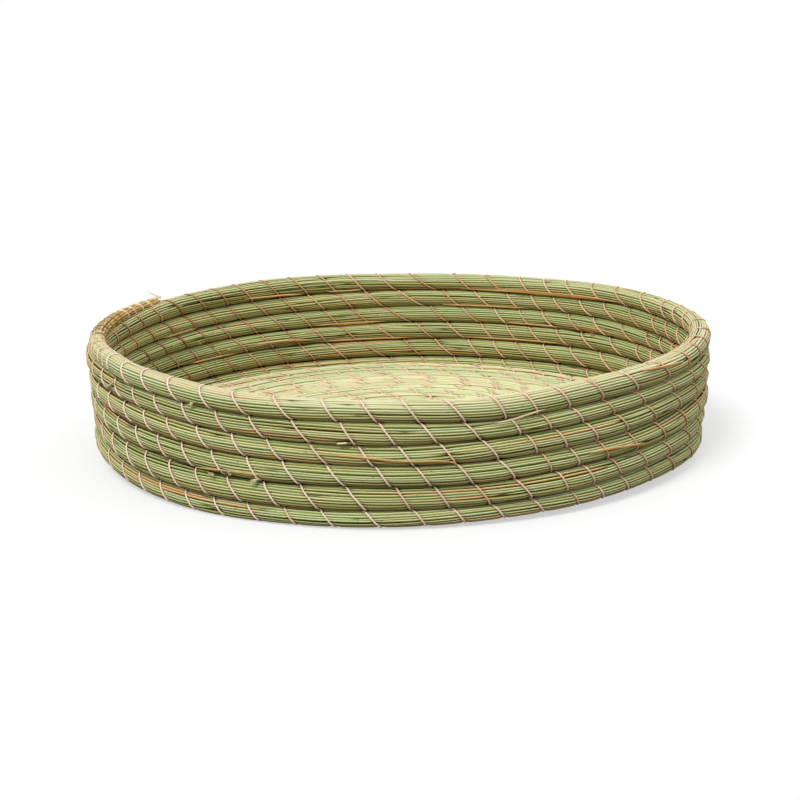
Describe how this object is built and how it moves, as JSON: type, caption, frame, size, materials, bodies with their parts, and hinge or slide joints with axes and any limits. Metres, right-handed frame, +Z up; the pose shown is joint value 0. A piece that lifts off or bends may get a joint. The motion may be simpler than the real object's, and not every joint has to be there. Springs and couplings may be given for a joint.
{
  "type": "coiled grass tray",
  "caption": "Round low-walled tray of coiled esparto grass, its rows stitched with thread, the coil's thin end bound at the rim.",
  "frame": {"origin": "middle of the underside, on the surface that the tray stands on", "axes": "+Z up along the tray's axis, -Y towards the side that faces the viewer in the picture. The coil is wound clockwise outwards and upwards, seen from above. On the rim it thins from 210 degrees, anticlockwise from +X, and ends at 150 degrees."},
  "size_m": [0.402, 0.4018, 0.0856],
  "materials": {
    "floor_grass": "matte",
    "wall_grass": "matte",
    "thread": "matte"
  },
  "bodies": {
    "root": {"floor_coil": "floor_grass", "wall_coil": "wall_grass", "row_1_thread": "thread", "row_2_thread": "thread", "row_3_thread": "thread", "row_4_thread": "thread", "row_5_thread": "thread", "row_6_thread": "thread", "end_binding": "thread"}
  },
  "joints": []
}
